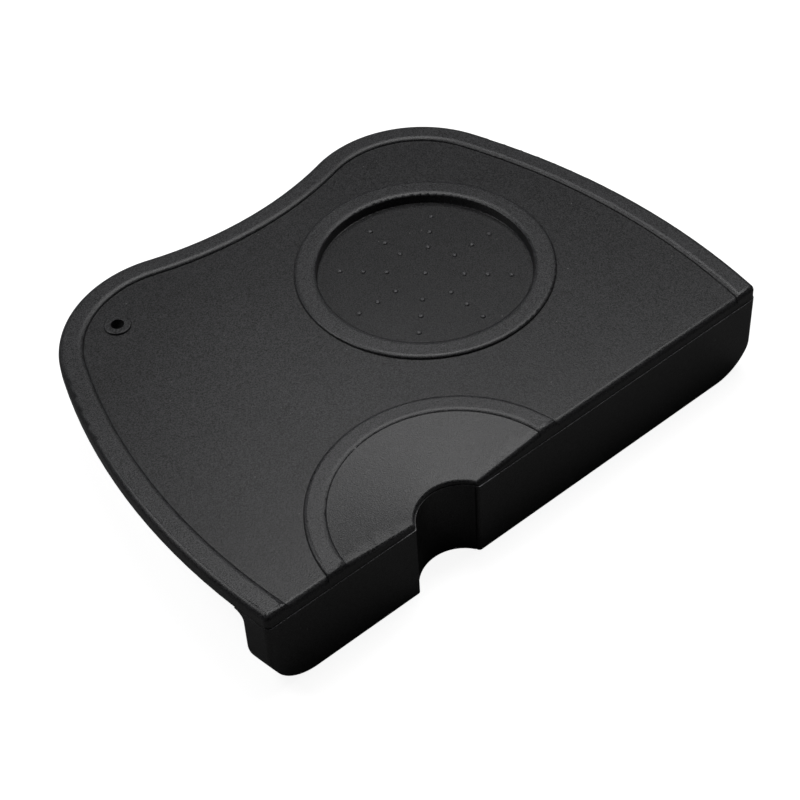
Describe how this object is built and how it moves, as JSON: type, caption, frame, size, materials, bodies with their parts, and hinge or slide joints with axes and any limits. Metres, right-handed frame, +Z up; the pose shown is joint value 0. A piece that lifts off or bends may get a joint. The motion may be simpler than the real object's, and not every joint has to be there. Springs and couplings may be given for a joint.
{
  "type": "corner tamper mat",
  "caption": "Soft rubber worktop mat with a raised rim, a round tamper recess, a dished half ring with a notch and a lip that hangs over the worktop edge.",
  "frame": {"origin": "middle of the underside that lies on the worktop, half way along the reach from the lip's back face to the back edge", "axes": "+X runs along the lip to the right seen from the front, +Y runs back over the worktop, +Z is up out of the worktop"},
  "size_m": [0.203, 0.1469, 0.0339],
  "materials": {
    "rubber_black": "matte moulded silicone rubber with a fine grain"
  },
  "bodies": {
    "root": {"mat": "rubber_black"}
  },
  "joints": []
}
